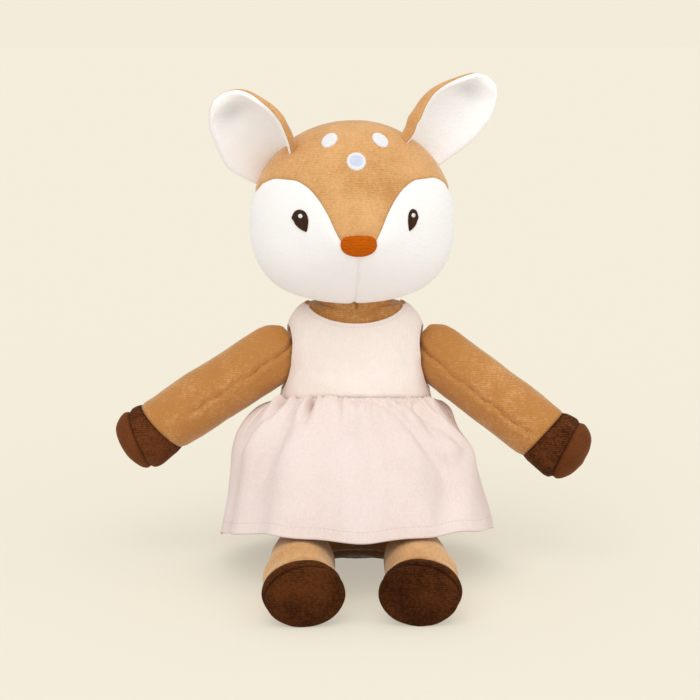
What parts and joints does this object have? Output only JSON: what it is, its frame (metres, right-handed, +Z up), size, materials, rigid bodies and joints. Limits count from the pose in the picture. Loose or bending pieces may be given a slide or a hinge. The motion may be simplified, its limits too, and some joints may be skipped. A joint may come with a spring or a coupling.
{
  "type": "plush deer",
  "caption": "Seated stuffed toy deer in tan and white plush with brown hooves, wearing a pale pink sleeveless cotton dress with a gathered skirt.",
  "frame": {"origin": "on the flat seat, under the torso's axis", "axes": "+Z up, the deer faces -Y and its own left is +X"},
  "size_m": [0.2687, 0.1769, 0.2775],
  "materials": {
    "tan_plush": "short dense pile",
    "white_plush": "short dense pile",
    "brown_plush": "short dense pile",
    "nose_thread": "satin stitch",
    "eye_thread": "satin stitch",
    "light_thread": "satin stitch",
    "dress_cotton": "woven cotton",
    "stuffing": "polyester fibre",
    "pellet_cloth": "woven bag of pellets",
    "closure_tape": "hook and loop tape"
  },
  "bodies": {
    "torso": {"torso_skin": "tan_plush", "torso_stuffing": "stuffing", "seat_gusset": "tan_plush", "pellet_bag": "pellet_cloth", "bodice_front": "dress_cotton", "bodice_back_left": "dress_cotton", "bodice_back_right": "dress_cotton", "closure_hook_strip": "closure_tape", "closure_loop_strip": "closure_tape", "skirt_front": "dress_cotton", "skirt_back": "dress_cotton"},
    "neck": {"neck": "tan_plush"},
    "head": {"head_crown": "tan_plush", "head_stuffing": "stuffing", "cheek_left": "white_plush", "cheek_right": "white_plush", "nose": "nose_thread", "eye_left": "eye_thread", "eye_right": "eye_thread", "eye_glint_left": "light_thread", "eye_glint_right": "light_thread", "spot_left": "light_thread", "spot_right": "light_thread", "spot_centre": "light_thread"},
    "ear_left": {"ear_back_left": "tan_plush", "ear_lining_left": "white_plush"},
    "arm_root_left": {"arm_root_left": "tan_plush"},
    "arm_left": {"arm_sleeve_left": "tan_plush", "arm_stuffing_left": "stuffing", "hand_hoof_band_left": "brown_plush", "hand_hoof_end_left": "brown_plush"},
    "leg_root_left": {"leg_root_left": "tan_plush"},
    "leg_left": {"leg_sleeve_left": "tan_plush", "leg_stuffing_left": "stuffing", "foot_hoof_band_left": "brown_plush", "foot_sole_left": "brown_plush"},
    "ear_right": {"ear_back_right": "tan_plush", "ear_lining_right": "white_plush"},
    "arm_root_right": {"arm_root_right": "tan_plush"},
    "arm_right": {"arm_sleeve_right": "tan_plush", "arm_stuffing_right": "stuffing", "hand_hoof_band_right": "brown_plush", "hand_hoof_end_right": "brown_plush"},
    "leg_root_right": {"leg_root_right": "tan_plush"},
    "leg_right": {"leg_sleeve_right": "tan_plush", "leg_stuffing_right": "stuffing", "foot_hoof_band_right": "brown_plush", "foot_sole_right": "brown_plush"}
  },
  "joints": [
    {"name": "neck_turn", "type": "hinge", "parent": "torso", "child": "neck", "pos_m": [0, 0.014, 0.152], "axis": [0, 0, 1], "range_deg": [-30, 30]},
    {"name": "head_nod", "type": "hinge", "parent": "neck", "child": "head", "pos_m": [0, 0.014, 0.152], "axis": [1, 0, 0], "range_deg": [-12, 8]},
    {"name": "ear_bend_left", "type": "hinge", "parent": "head", "child": "ear_left", "pos_m": [0.04391, 0.00677, 0.23197], "axis": [-0.7629, -0.055, 0.6441], "range_deg": [-12, 25]},
    {"name": "arm_raise_left", "type": "hinge", "parent": "torso", "child": "arm_root_left", "pos_m": [0.04639, 0.00828, 0.1184], "axis": [-0.2924, -0.9563, 0], "range_deg": [-4, 75]},
    {"name": "arm_swing_left", "type": "hinge", "parent": "arm_root_left", "child": "arm_left", "pos_m": [0.04639, 0.00828, 0.1184], "axis": [-0.5485, 0.1677, -0.8192], "range_deg": [-35, 12]},
    {"name": "leg_lower_left", "type": "hinge", "parent": "torso", "child": "leg_root_left", "pos_m": [0.031, -0.033, 0.0167], "axis": [1, 0, 0], "range_deg": [0, 78]},
    {"name": "leg_spread_left", "type": "hinge", "parent": "leg_root_left", "child": "leg_left", "pos_m": [0.031, -0.033, 0.0167], "axis": [0, 0, 1], "range_deg": [-2, 25]},
    {"name": "ear_bend_right", "type": "hinge", "parent": "head", "child": "ear_right", "pos_m": [-0.05016, 0.00387, 0.22912], "axis": [-0.763, -0.1253, -0.6341], "range_deg": [0, 30]},
    {"name": "arm_raise_right", "type": "hinge", "parent": "torso", "child": "arm_root_right", "pos_m": [-0.04639, 0.00828, 0.1184], "axis": [0, 1, 0], "range_deg": [-4, 75]},
    {"name": "arm_swing_right", "type": "hinge", "parent": "arm_root_right", "child": "arm_right", "pos_m": [-0.04639, 0.00828, 0.1184], "axis": [-0.5446, 0, 0.8387], "range_deg": [-25, 40]},
    {"name": "leg_lower_right", "type": "hinge", "parent": "torso", "child": "leg_root_right", "pos_m": [-0.031, -0.033, 0.0167], "axis": [1, 0, 0], "range_deg": [0, 78]},
    {"name": "leg_spread_right", "type": "hinge", "parent": "leg_root_right", "child": "leg_right", "pos_m": [-0.031, -0.033, 0.0167], "axis": [0, 0, -1], "range_deg": [-2, 25]}
  ]
}
